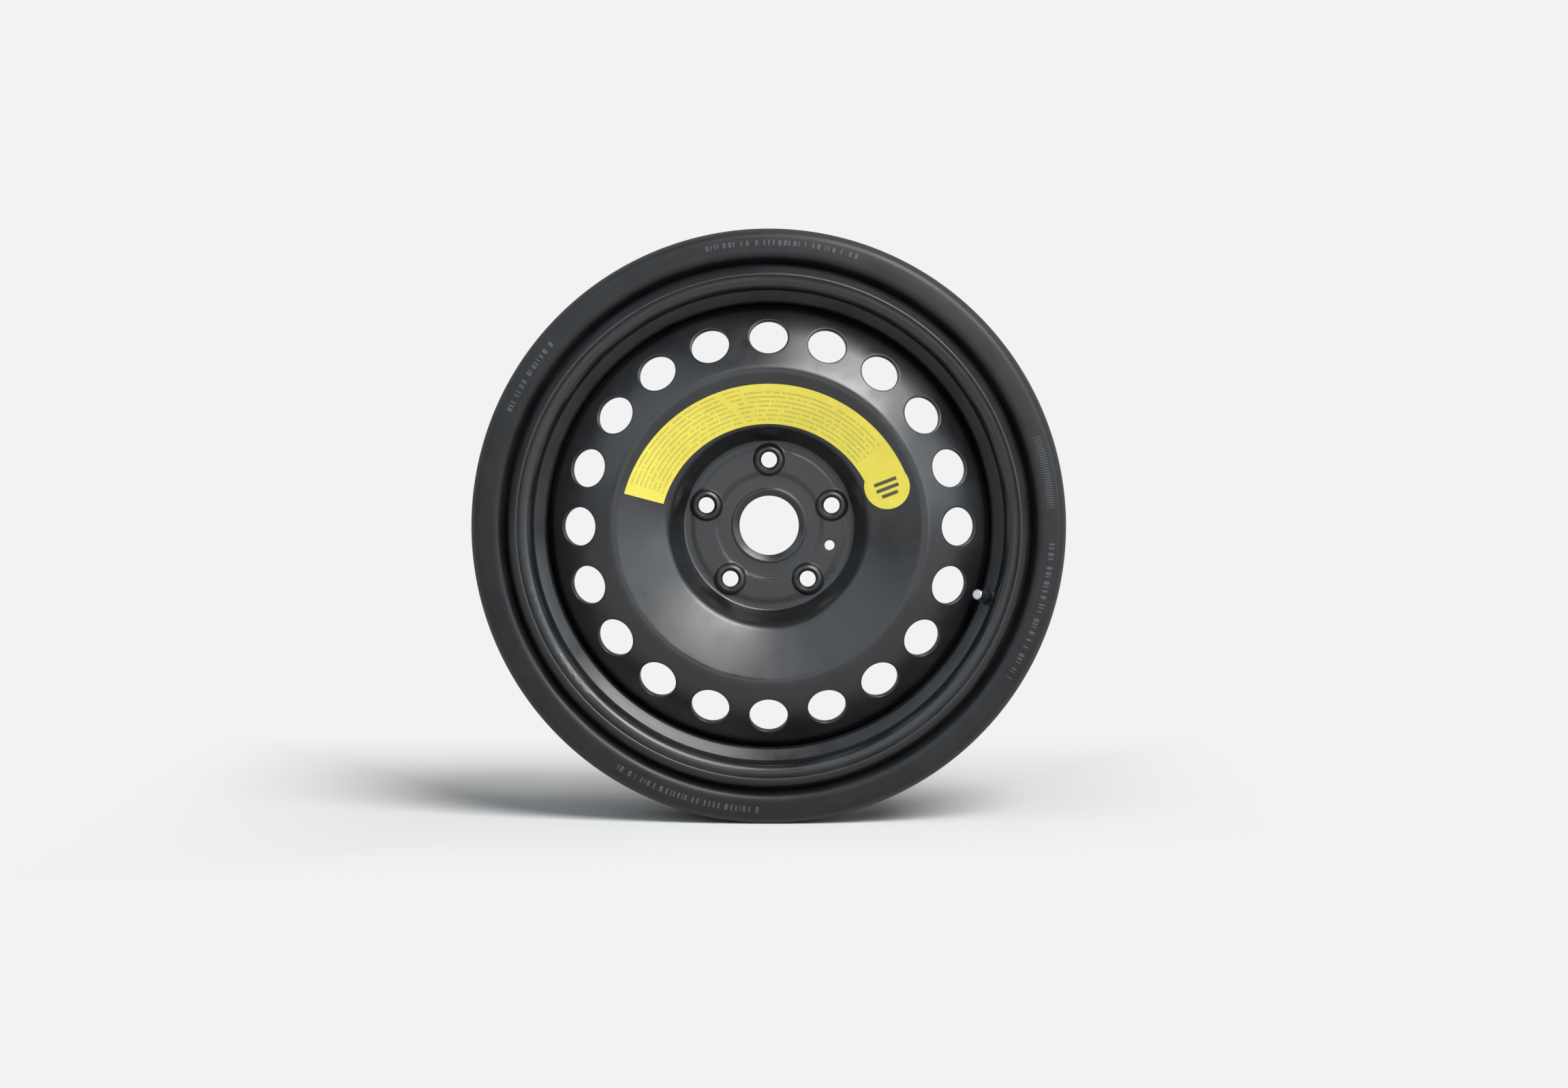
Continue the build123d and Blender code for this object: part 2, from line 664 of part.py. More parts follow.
def make_valve_cap():
    """Round-topped screw cap with grip flutes, open below."""
    radius = cap_bore_radius + CAP_WALL
    corners = [(0, cap_bottom), (radius, cap_bottom), (radius, cap_top), (0, cap_top)]
    blank = make_face(Polyline(*corners, close=True))
    top_corner = blank.vertices().group_by(Axis.X)[-1].sort_by(Axis.Y)[-1]
    blank = fillet(top_corner, CAP_ROUNDING)
    cap = spin_upright(Plane.XZ * blank) - tube(0, cap_bore_radius, cap_bottom, cap_ceiling)
    flute_length = cap_top - cap_bottom - FLUTE_TOP_MARGIN
    flute = Cylinder(FLUTE_RADIUS, flute_length, align=(Align.CENTER, Align.CENTER, Align.MIN))
    cuts = [Pos(0, 0, cap_bottom) * place * flute for place in PolarLocations(radius, FLUTE_COUNT)]
    return cap - cuts


def make_cap_seal():
    """Washer in the cap's ceiling, which closes on the top of the stem."""
    return tube(
        CAP_SEAL_BORE_RADIUS,
        cap_bore_radius - CORE_FIT,
        cap_seal_bottom,
        cap_seal_bottom + CAP_SEAL_THICKNESS,
    )


def main():
    rim = make_rim()
    nodes = {
        "tyre": make_tyre(),
        "rim": rim,
        "wheel_disc": make_disc(),
        "disc_welds": Compound(children=make_welds()),
        "information_label": make_label(),
        "valve_body": make_valve_body(rim),
        "valve_stem": in_valve(make_valve_stem()),
        "valve_core_plug": in_valve(make_core_plug()),
        "valve_core_barrel": in_valve(make_core_barrel()),
        "valve_core_seal": in_valve(make_core_seal()),
        "valve_core_pin": in_valve(make_core_pin()),
        "valve_core_cup": in_valve(make_core_cup()),
        "valve_core_gasket": in_valve(make_core_gasket()),
        "valve_core_spring": in_valve(make_core_spring()),
        "valve_cap": in_valve(make_valve_cap()),
        "valve_cap_seal": in_valve(make_cap_seal()),
    }
    os.makedirs("parts", exist_ok=True)
    for name, part in nodes.items():
        export_step(part, f"parts/{name}.step")


main()
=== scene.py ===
# %% [markdown]
# # A space saver spare wheel in the studio
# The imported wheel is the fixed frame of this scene: every sub-part is already at its real size and
# place, in metres, with Y as the spin axis, the outer face towards -Y and Z up. The lesson gives each
# surface its finish.

# %% Load the wheel
import math

import bmesh
import bpy
import numpy as np
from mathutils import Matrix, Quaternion, Vector


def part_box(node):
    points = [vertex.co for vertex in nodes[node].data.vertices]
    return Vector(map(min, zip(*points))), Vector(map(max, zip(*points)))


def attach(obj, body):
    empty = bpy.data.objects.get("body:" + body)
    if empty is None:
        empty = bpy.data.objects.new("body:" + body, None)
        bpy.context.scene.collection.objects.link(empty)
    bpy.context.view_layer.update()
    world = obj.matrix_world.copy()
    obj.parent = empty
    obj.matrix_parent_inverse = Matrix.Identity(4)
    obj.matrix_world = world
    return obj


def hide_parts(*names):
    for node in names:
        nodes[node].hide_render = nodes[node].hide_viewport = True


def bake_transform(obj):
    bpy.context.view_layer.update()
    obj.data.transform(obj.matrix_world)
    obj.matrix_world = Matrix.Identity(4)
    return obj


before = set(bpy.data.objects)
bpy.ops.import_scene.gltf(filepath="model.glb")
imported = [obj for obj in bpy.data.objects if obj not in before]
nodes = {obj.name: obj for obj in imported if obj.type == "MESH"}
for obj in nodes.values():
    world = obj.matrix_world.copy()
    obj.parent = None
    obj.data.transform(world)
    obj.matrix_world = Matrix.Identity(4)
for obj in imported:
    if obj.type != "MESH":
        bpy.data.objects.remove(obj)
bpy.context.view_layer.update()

# %% [markdown]
# ## Shader maths written as formulas
# A finish is a set of formulas over the surface. Building them node by node hides the formula, so one
# small class wraps a node's output: Python's operators on it add Math nodes, and one method adds any
# other node.


# %% The signal class
class Signal:
    """One output of a material's nodes; operators on it add Math nodes."""

    def __init__(self, tree, socket=None):
        self.tree = tree
        self.socket = socket

    def node(self, kind, settings=None, inputs=None, out=0):
        """Add a node, set its settings, then fill its sockets with values or links; give one output."""
        made = self.tree.nodes.new(kind)
        for name, value in (settings or {}).items():
            setattr(made, name, value)
        for name, value in (inputs or {}).items():
            if isinstance(value, Signal):
                self.tree.links.new(value.socket, made.inputs[name])
            else:
                made.inputs[name].default_value = value
        return Signal(self.tree, made.outputs[out])

    def math(self, operation, first, second=0.0):
        return self.node("ShaderNodeMath", {"operation": operation}, {0: first, 1: second})

    def __add__(self, other):
        return self.math("ADD", self, other)

    def __sub__(self, other):
        return self.math("SUBTRACT", self, other)

    def __mul__(self, other):
        return self.math("MULTIPLY", self, other)

    def __truediv__(self, other):
        return self.math("DIVIDE", self, other)

    def __rsub__(self, other):
        return self.math("SUBTRACT", other, self)

    def __rtruediv__(self, other):
        return self.math("DIVIDE", other, self)

    def __gt__(self, other):
        return self.math("GREATER_THAN", self, other)

    def __lt__(self, other):
        return self.math("LESS_THAN", self, other)

    __radd__ = __add__
    __rmul__ = __mul__

    def step(self, low, high, to_low=0.0, to_high=1.0):
        """Smooth step from to_low to to_high while the signal goes from low to high."""
        values = {"From Min": low, "From Max": high, "To Min": to_low, "To Max": to_high}
        settings = {"interpolation_type": "SMOOTHSTEP"}
        return self.node("ShaderNodeMapRange", settings, {"Value": self, **values})

    def blend(self, first, second):
        """Colour that goes from first to second as the signal goes from 0 to 1."""
        return self.node("ShaderNodeMix", {"data_type": "RGBA"}, {0: self, 6: first, 7: second}, out=2)

    def noise(self, scale, detail=2.0, rough=0.5, out=0):
        """Noise with about scale lumps in each metre, read at this position."""
        values = {"Vector": self, "Scale": scale, "Detail": detail, "Roughness": rough}
        return self.node("ShaderNodeTexNoise", None, values, out)

    def split(self):
        """The three parts of a position."""
        parts = self.node("ShaderNodeSeparateXYZ", None, {"Vector": self})
        return [Signal(self.tree, socket) for socket in parts.socket.node.outputs]

    def join(self, other):
        """Two signals as the first two parts of one position."""
        return self.node("ShaderNodeCombineXYZ", None, {"X": self, "Y": other})

    def polar(self, drop=0.0):
        """Distance from the axle, or from a line drop below it, and the angle from the +X side."""
        x, _, z = self.split()
        z = z + drop
        return self.math("SQRT", x * x + z * z), self.math("ARCTAN2", z, x)


# %% [markdown]
# ## What every finish needs
# Each finish starts from the Principled shader. It could be set up by hand every time; four short
# helpers set its constants, link the signals that vary, turn a height into a bump and hand the finish
# to sub-parts, so that a finish below is only its own formulas.


# %% Finish helpers
def new_finish(name, **constants):
    """A Principled material with its constants set; gives it, its place signal and its shader."""
    material = bpy.data.materials.new(name)
    material.use_nodes = True
    tree = material.node_tree
    shader = tree.nodes["Principled BSDF"]
    for socket, value in constants.items():
        shader.inputs[socket.replace("_", " ")].default_value = value
    place = Signal(tree).node("ShaderNodeTexCoord", out=3)
    return material, place, shader


def feed(shader, **signals):
    """Link signals to a shader's sockets; an underscore in a name stands for a space."""
    for name, signal in signals.items():
        signal.tree.links.new(signal.socket, shader.inputs[name.replace("_", " ")])


def bumped(height, depth):
    """Normal for a height signal of 0 to 1 that stands depth metres tall."""
    return height.node("ShaderNodeBump", None, {"Height": height, "Strength": 1.0, "Distance": depth})


def dress(material, *names):
    """Give a finish to sub-parts that keep their own shape."""
    for name in names:
        slots = nodes[name].data.materials
        slots.clear()
        slots.append(material)
    print(material.name, "on", ", ".join(names))


# %% [markdown]
# ## Surfaces as arrays
# A wheel is made of profiles spun about one axis. Blender's Spin tool could turn them, but with numpy a
# whole surface is one formula over two parameters, and its roundings and hole edges stay exact. Three
# helpers do the work: one rounds the corners of a profile, one spins it, and one turns grids of points
# into a welded mesh.

# %% Profile and spin helpers
MM = 0.001


def rounded_line(corners, radii, steps=6):
    """Straight runs joined by tangent arcs, with the unit normal on the right of travel at each point.

    A corner that turns by an angle is cut back by radius * tan(angle / 2), and the arc between the cuts
    is centre - radius * (cos(sweep) * inner normal - sin(sweep) * incoming direction).
    """
    corners = np.array(corners, float)
    runs = np.diff(corners, axis=0)
    runs /= np.linalg.norm(runs, axis=1, keepdims=True)
    rights = np.stack([runs[:, 1], -runs[:, 0]], axis=1)
    points, normals = [corners[:1]], [rights[:1]]
    for corner, before, after, right, radius in zip(corners[1:-1], runs, runs[1:], rights, radii):
        turn = math.acos(np.clip(before @ after, -1, 1))
        side = math.copysign(1.0, before[1] * after[0] - before[0] * after[1])
        centre = corner - before * radius * math.tan(turn / 2) + side * radius * right
        sweep = np.linspace(0, turn, steps + 1)[:, None]
        inner = np.cos(sweep) * right * side - np.sin(sweep) * before
        points.append(centre - radius * inner)
        normals.append(inner * side)
    points.append(corners[-1:])
    normals.append(rights[-1:])
    return np.concatenate(points), np.concatenate(normals)


def spin(profile, angles):
    """Surface of revolution: (radius cos a, axial, radius sin a) for each angle a and profile point."""
    radius, axial = profile[None, :, 0], profile[None, :, 1]
    turn = angles[:, None]
    return np.stack([radius * np.cos(turn), axial + 0 * turn, radius * np.sin(turn)], axis=-1)


def full_turn(count):
    """Evenly spaced angles of one turn, starting at the +X side."""
    return np.arange(count) * 2 * math.pi / count


# %% Mesh helpers
WELD_DISTANCE = 0.002 * MM


def grid_quads(rows, columns, wrap_rows, wrap_columns):
    """Corner numbers of the quads between neighbouring rows and columns of a grid of points."""
    row = np.arange(rows if wrap_rows else rows - 1)[:, None]
    column = np.arange(columns if wrap_columns else columns - 1)[None, :]
    next_row, next_column = (row + 1) % rows, (column + 1) % columns
    corners = [(row, column), (next_row, column), (next_row, next_column), (row, next_column)]
    return np.stack([r * columns + c for r, c in corners], axis=-1).reshape(-1, 4)


def mesh_piece(name, grids, replaced=None, sharp=40.0):
    """One welded mesh from (points, wrap rows, wrap columns) grids, with its faces outwards."""
    vertices, quads, start = [], [], 0
    for points, wrap_rows, wrap_columns in grids:
        rows, columns = points.shape[:2]
        vertices.append(points.reshape(-1, 3))
        quads.append(grid_quads(rows, columns, wrap_rows, wrap_columns) + start)
        start += rows * columns
    mesh = bpy.data.meshes.new(name)
    mesh.from_pydata(np.concatenate(vertices), [], np.concatenate(quads))
    work = bmesh.new()
    work.from_mesh(mesh)
    bmesh.ops.remove_doubles(work, verts=work.verts, dist=WELD_DISTANCE)
    bmesh.ops.recalc_face_normals(work, faces=work.faces)
    open_edges = sum(1 for edge in work.edges if not edge.is_manifold)
    work.to_mesh(mesh)
    work.free()
    mesh.polygons.foreach_set("use_smooth", np.ones(len(mesh.polygons), bool))
    mesh.set_sharp_from_angle(angle=math.radians(sharp))
    piece = bpy.data.objects.new(name, mesh)
    bpy.context.scene.collection.objects.link(piece)
    if replaced:
        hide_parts(replaced)
    print(name, "faces", len(mesh.polygons), "open edges", open_edges)
    return piece


# %% [markdown]
# ## The pressed disc
# The disc is one steel sheet pressed into a hub, a bowl, a ridge and a vented ring. A sharp-edged solid
# shows no highlight along its holes, so here the sheet is made again with the same sections and with
# the small roundings that pressing leaves. It begins as a line through the middle of the sheet; half a
# thickness to either side of it lie the front and the back.

# %% Sizes of the disc
SHEET = 4.5 * MM
HALF_SHEET = SHEET / 2
HUB_FACE = -7.5 * MM
HUB_START = 43.0 * MM
HUB_END = 77.5 * MM
LAND_RISE = 1.2 * MM
VENT_COUNT = 20
VENT_RADIUS = 17.35 * MM
VENT_SLOPE = math.radians(30.0)
VENT_CAMBER = math.radians(2.0)
VENT_CIRCLE_RADIUS = 171.1 * MM
VENT_EDGE_MARGIN = 22.5 * MM
RING_BEND_SHARE = 0.86
VENT_PATCH_HALF = 22.7 * MM
ARC_STEPS = 8
TURN_STEPS = 360

# %% Line through the middle of the sheet
hub_middle = HUB_FACE - HALF_SHEET
land_middle = hub_middle - LAND_RISE
ridge = np.array([141.5, -52.75]) * MM
inner_run, outer_run = VENT_CIRCLE_RADIUS - ridge[0], VENT_EDGE_MARGIN
ring_corner = ridge + np.array([inner_run, inner_run * math.tan(VENT_SLOPE - VENT_CAMBER)])
ring_end = ring_corner + np.array([outer_run, outer_run * math.tan(VENT_SLOPE + VENT_CAMBER)])
ring_bend = RING_BEND_SHARE * outer_run / math.cos(VENT_SLOPE + VENT_CAMBER) / math.tan(VENT_CAMBER)
ring_lift = ring_bend * (1 / math.cos(VENT_CAMBER) - 1)
vent_middle = ring_corner + ring_lift * np.array([-math.sin(VENT_SLOPE), math.cos(VENT_SLOPE)])
skirt_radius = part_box("wheel_disc")[1].x - HALF_SHEET
skirt_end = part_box("wheel_disc")[1].y

disc_line, disc_normal = rounded_line(
    [
        (HUB_START, hub_middle),
        (47.3 * MM, hub_middle),
        (49.7 * MM, land_middle),
        (67.8 * MM, land_middle),
        (70.2 * MM, hub_middle),
        (79.0 * MM, hub_middle),
        (91.5 * MM, -34.55 * MM),
        ridge,
        ring_corner,
        ring_end,
        (skirt_radius, ring_end[1] + 14.0 * MM),
        (skirt_radius, skirt_end),
    ],
    np.array([2.75, 2.75, 2.75, 2.75, 6.0, 12.0, 11.0, ring_bend / MM, 3.4, 6.0]) * MM,
    ARC_STEPS,
)
disc_front = disc_line + disc_normal * HALF_SHEET
disc_back = disc_line - disc_normal * HALF_SHEET
print("disc section", len(disc_line), "points, skirt radius", round(skirt_radius / MM, 2), "mm")


def corner_points(number):
    """Where the arc of one corner lies in the disc's line."""
    return slice(1 + number * (ARC_STEPS + 1), 1 + (number + 1) * (ARC_STEPS + 1))


def hub_front(radius):
    """Axial place of the disc's outer face at a radius of the hub."""
    return np.interp(radius, disc_front[:, 0], disc_front[:, 1])


def hub_back(radius):
    """Axial place of the disc's back at a radius of the hub."""
    return np.interp(radius, disc_back[:, 0], disc_back[:, 1])


# %% [markdown]
# ## Plain rings of the disc
# Round the bore, over the bowl and the ridge, and at the skirt the disc is the same all the way round.
# The whole sheet could be spun and the holes cut out of it later; spinning only the parts without holes
# leaves clean borders for the patches that come next.


# %% Rings of the disc between its holes
def ring_section(along):
    """Radius, axial place and slope of the vented ring's arc, at a distance along it from the vents."""
    slope = VENT_SLOPE + along / ring_bend
    radius = vent_middle[0] + ring_bend * (np.sin(slope) - math.sin(VENT_SLOPE))
    axial = vent_middle[1] + ring_bend * (math.cos(VENT_SLOPE) - np.cos(slope))
    return radius, axial, slope


def ring_border(offset, along):
    """Point of the ring's section, an offset outboard of the sheet's middle."""
    radius, axial, slope = ring_section(along)
    return np.array([[radius + offset * math.sin(slope), axial - offset * math.cos(slope)]])


def disc_rings():
    """Spun rings: round the bore, over the bowl and the ridge, behind them, and round the skirt."""
    bore_corners = [
        (43.0, -12.0),
        (34.6, -12.0),
        (33.4, -12.9),
        (32.2, -12.9),
        (27.05, -9.8),
        (27.05, -7.5),
        (43.0, -7.5),
    ]
    bore_bends = np.array([0.8, 0.5, 0.5, 0.6, 0.3])
    bore_line, _ = rounded_line(np.array(bore_corners) * MM, bore_bends * MM, 4)
    before_vents = corner_points(4).start
    ridge_stop = corner_points(6).stop
    sides = []
    for line, offset, level in ((disc_front, HALF_SHEET, hub_front), (disc_back, -HALF_SHEET, hub_back)):
        bowl = line[before_vents:ridge_stop]
        bowl = bowl[bowl[:, 0] > HUB_END]
        hub_edge = np.array([[HUB_END, level(HUB_END)]])
        sides.append(np.concatenate([hub_edge, bowl, ring_border(offset, -VENT_PATCH_HALF)]))
    edge_start = corner_points(8).start
    rim_side = np.concatenate([ring_border(HALF_SHEET, VENT_PATCH_HALF), disc_front[edge_start:]])
    back_side = np.concatenate([ring_border(-HALF_SHEET, VENT_PATCH_HALF), disc_back[edge_start:]])
    sides.append(np.concatenate([rim_side, back_side[::-1]]))
    return [(spin(line, full_turn(TURN_STEPS)), True, False) for line in [bore_line, *sides]]


# %% [markdown]
# ## Patches with a hole
# Round vents are punched through the sloping ring, and punching rounds their edges. A Boolean would cut
# them with long, thin faces, so each hole sits in a patch of its own: its rows run from the patch's
# border to the hole's edge, over the rounding, through the sheet and out again behind.


# %% Rows of a patch
def border_loop(low, high, steps, swing, swing_steps):
    """Loop round a patch: (distance, angle) along its near side, right side, far side and left side."""
    across = np.linspace(-swing, swing, swing_steps + 1)
    up = np.linspace(low, high, steps + 1)
    sides = [
        (np.full(swing_steps, low), across[:-1]),
        (up[:-1], np.full(steps, swing)),
        (np.full(swing_steps, high), across[:0:-1]),
        (up[:0:-1], np.full(steps, -swing)),
    ]
    return np.concatenate([np.stack(side, axis=1) for side in sides]).T


def hole_rows(radius, rounding, spread):
    """Rows from a patch's border over a rounded hole edge to the border behind.

    Gives for each row the share of the border in it, the radius of its circle round the hole, which is
    radius + rounding * (1 - sin t), and its height above the sheet's middle, half a sheet thickness less
    rounding * (1 - cos t).
    """
    t = np.radians([30.0, 60.0, 90.0])
    flat = np.full(len(spread), radius + rounding)
    edge = radius + rounding * (1 - np.sin(t))
    level = HALF_SHEET - rounding * (1 - np.cos(t))
    share = np.concatenate([spread, 0 * t, 0 * t, spread[::-1]])
    circle = np.concatenate([flat, edge, edge[::-1], flat])
    height = np.concatenate([0 * flat + HALF_SHEET, level, -level[::-1], 0 * flat - HALF_SHEET])
    return share[:, None], circle[:, None], height[:, None]


def plane_rows(border, share, circle):
    """Blend of circles round the hole and the patch's border, in the plane of the patch."""
    bearing = np.arctan2(border[1], border[0])
    round_hole = (circle * np.cos(bearing), circle * np.sin(bearing))
    return [share * line + (1 - share) * curve for line, curve in zip(border, round_hole)]


# %% Vent patches
VENT_ROUNDING = 0.9 * MM
VENT_SPREAD = np.array([1, 0.7, 0.45, 0.25, 0.1, 0])
VENT_SIDE_STEPS = 16
CORRECTIONS = 12


def vent_patches():
    """Vent holes, square to the ring at their middles.

    A point (a, b) of the plane that touches the ring at a vent's middle belongs to the angle asin(b / r)
    and to the place along the ring whose own a is the same, which a few rounds of correction find.
    """
    swing = math.pi / VENT_COUNT
    lean = np.array([math.cos(VENT_SLOPE), math.sin(VENT_SLOPE)])

    def plane_height(along, angle):
        radius, axial, _ = ring_section(along)
        return (radius * np.cos(angle) - vent_middle[0]) * lean[0] + (axial - vent_middle[1]) * lean[1]

    swing_steps = TURN_STEPS // VENT_COUNT
    along, angle = border_loop(-VENT_PATCH_HALF, VENT_PATCH_HALF, VENT_SIDE_STEPS, swing, swing_steps)
    border = (plane_height(along, angle), ring_section(along)[0] * np.sin(angle))
    share, circle, height = hole_rows(VENT_RADIUS, VENT_ROUNDING, VENT_SPREAD)
    a, b = plane_rows(border, share, circle)
    along = a
    for _ in range(CORRECTIONS):
        angle = np.arcsin(b / ring_section(along)[0])
        along = along + a - plane_height(along, angle)
    radius, axial, slope = ring_section(along)
    radius = radius + height * np.sin(slope)
    axial = axial - height * np.cos(slope)
    patches = []
    for turn in math.pi / 2 + np.arange(VENT_COUNT) * 2 * swing:
        x, z = radius * np.cos(angle + turn), radius * np.sin(angle + turn)
        patches.append((np.stack([x, axial, z], axis=-1), False, True))
    return patches


# %% [markdown]
# ## Hub and bolt bosses
# The hub is flat, with a raised land and five domed bosses whose tapered seats centre the bolts. Domes
# could be separate lumps pushed into a flat sheet; here the height of the sheet is one formula, so dome
# and land meet in a soft fillet, as they do in a pressing.

# %% Hub patches and boss shape
HUB_PATCHES = 10
HUB_SWING = math.pi / HUB_PATCHES
HUB_STEPS = 20
HUB_TURN_STEPS = TURN_STEPS // HUB_PATCHES
BOSS_FOOT = 15.0 * MM
BOSS_TOP = 10.9 * MM
BOSS_FILLET = 0.5 * MM
BOSS_ARC = np.array([8.636, -1.985]) * MM
BOSS_ARC_RADIUS = 6.096 * MM
land_front = land_middle - HALF_SHEET


def boss_height(distance):
    """Dome of a bolt boss above the land: an arc in section, at a distance from the bolt's axis."""
    return BOSS_ARC[1] + np.sqrt(np.maximum(BOSS_ARC_RADIUS**2 - (distance - BOSS_ARC[0]) ** 2, 0))


def soft_peak(first, second, room):
    """Larger of two heights with a fillet between them: half of a + b + sqrt((a - b)^2 + room^2)."""
    return (first + second + np.sqrt((first - second) ** 2 + room**2)) / 2


def hub_place(turn, plane, middle, axial):
    """Points of a hub patch, from its plane beside a hole to the wheel's own frame."""
    outward, side = plane[0] + middle, plane[1]
    x = outward * math.cos(turn) - side * math.sin(turn)
    z = outward * math.sin(turn) + side * math.cos(turn)
    return np.stack([x, axial + 0 * x, z], axis=-1)


def hub_border(middle):
    """Border of one tenth of the hub, in the plane beside a hole at a radius."""
    distance, angle = border_loop(HUB_START, HUB_END, HUB_STEPS, HUB_SWING, HUB_TURN_STEPS)
    return distance * np.cos(angle) - middle, distance * np.sin(angle)


# %% Bolt bosses
BOLT_CIRCLE_RADIUS = 60.0 * MM
SEAT_BEND = 0.4 * MM
SEAT_CORNERS = [(10.6, 3.78), (9.8, 4.0), (7.2, 1.6), (7.2, -1.0), (11.4, -4.5), (12.2, -4.5)]


def bolt_patch(turn):
    """Boss, tapered bolt seat, bolt hole and the recess behind, from the front border to the back one."""
    section, _ = rounded_line(np.array(SEAT_CORNERS) * MM, [SEAT_BEND] * 4, 4)
    side = np.linspace(BOSS_FOOT, BOSS_TOP, 12)
    spread = np.array([1.0, 0.66, 0.33])
    share = np.concatenate([spread, 0 * side, 0 * section[:, 0], spread[::-1]])[:, None]
    behind = np.full(len(spread), section[-1, 0])
    circle = np.concatenate([0 * spread + BOSS_FOOT, side, section[:, 0], behind])[:, None]
    plane = plane_rows(hub_border(BOLT_CIRCLE_RADIUS), share, circle)
    radius = np.hypot(plane[0] + BOLT_CIRCLE_RADIUS, plane[1])
    front_rows, back_rows = len(spread) + len(side), len(spread)
    distance = np.hypot(*plane)
    plain = -hub_front(radius)
    raised = soft_peak(plain, boss_height(distance) - land_front, BOSS_FILLET)
    axial = -(plain + (raised - plain) * (1 - share))
    axial[front_rows:-back_rows] = (land_front - section[:, 1])[:, None]
    axial[-back_rows:] = hub_back(radius[-back_rows:])
    return hub_place(turn, plane, BOLT_CIRCLE_RADIUS, axial), False, True


# %% Locating hole and the whole disc
LOCATING_RADIUS = 58.0 * MM
LOCATING_TURN = math.radians(-18.0)
LOCATING_HOLE = 4.5 * MM
LOCATING_ROUNDING = 0.5 * MM


def locating_patch():
    """Small plain hole between two bolts, with the hub's own faces round it."""
    share, circle, height = hole_rows(LOCATING_HOLE, LOCATING_ROUNDING, np.linspace(1, 0, 5))
    plane = plane_rows(hub_border(LOCATING_RADIUS), share, circle)
    radius = np.hypot(plane[0] + LOCATING_RADIUS, plane[1])
    middle = np.where(height > 0, hub_front(radius) + HALF_SHEET, hub_back(radius) - HALF_SHEET)
    return hub_place(LOCATING_TURN, plane, LOCATING_RADIUS, middle - height), False, True


def plain_patches(turn):
    """Front and back of the hub where it has no hole."""
    radius = np.linspace(HUB_START, HUB_END, HUB_STEPS + 1)
    angles = turn + np.linspace(-HUB_SWING, HUB_SWING, HUB_TURN_STEPS + 1)
    lines = [np.stack([radius, level(radius)], axis=1) for level in (hub_front, hub_back)]
    return [(spin(line, angles), False, False) for line in lines]


def hub_patches():
    """Ten tenths of the hub: five with a bolt boss, one with the locating hole, four plain."""
    turns = np.radians(90.0 + 72.0 * np.arange(5))
    patches = [bolt_patch(turn) for turn in turns] + [locating_patch()]
    for turn in turns + math.pi / 5:
        if abs(math.remainder(turn - LOCATING_TURN, 2 * math.pi)) > 0.01:
            patches += plain_patches(turn)
    return patches


wheel_disc = mesh_piece(
    "pressed_disc", disc_rings() + vent_patches() + hub_patches(), "wheel_disc", sharp=50.0
)
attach(wheel_disc, "wheel")

# %% [markdown]
# ## The tyre
# A spare tyre is one moulding. Its section is the same as the solid's; the tread gets the short cross
# slots that let water out, and the outer sidewall gets low moulded marks. A displacement texture could
# press the slots, but their walls would smear, so the grid has columns exactly at the slots' walls.

# %% Tyre section
GROOVE_PLACES = (-25.0, 0.0, 25.0)
GROOVE_DEPTH = 5.0 * MM
SLOT_DEPTH = 4.0 * MM
SLOT_PITCHES = 48
tyre_low, tyre_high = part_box("tyre")
tyre_radius = tyre_high.z

BEAD_TOE = (217.09, -35.15)
CURL_START = 228.93
GROOVE_FOOT = CURL_START + 7.6
BULGE = GROOVE_FOOT + 6.5
TREAD = 268.5

outside_corners = [
    BEAD_TOE,
    (218.45, -50.65),
    (CURL_START, -50.65),
    (GROOVE_FOOT, -46.5),
    (BULGE, -61.0),
    (TREAD, -57.5),
    (TREAD, 0.0),
]
inside_corners = [
    BEAD_TOE,
    (CURL_START, -38.15),
    (GROOVE_FOOT, -39.5),
    (257.5, -49.5),
    (257.5, 0.0),
]
outside_bends = np.array([5.25, 3.0, 3.0, 8.0, 10.0])
inside_bends = np.array([3.0, 7.0, 7.0])
tyre_outside, tyre_normal = rounded_line(np.array(outside_corners) * MM, outside_bends * MM, 7)
tyre_outside, tyre_normal = tyre_outside[:-1], tyre_normal[:-1]
tyre_inside, _ = rounded_line(np.array(inside_corners) * MM, inside_bends * MM, 3)


# %% Tread
GROOVE_WALLS = np.array([-3.5, -3.4, 3.4, 3.5])
SLOT_WALLS = np.array([0.0, 0.3, 11.7, 12.0])
SLOT_ROWS = ((-43.5, 1, 0), (-18.5, 0, 1), (6.5, 1, 0), (31.5, 0, 1))
FIRST_SLOT, SECOND_SLOT, SLOT_HALF = 0.25, 0.75, 0.045


def tread_rows():
    """Rows across the tread: place, groove depth, and how deep the two sets of cross slots are there."""
    rows = []
    for middle in GROOVE_PLACES:
        rows += [(place, deep, 0, 0) for place, deep in zip(middle + GROOVE_WALLS, (0, 1, 1, 0))]
    for low, first, second in SLOT_ROWS:
        walls = zip(low + SLOT_WALLS, (0, 1, 1, 0))
        rows += [(place, 0, first * deep, second * deep) for place, deep in walls]
    return np.array(sorted(rows)).T


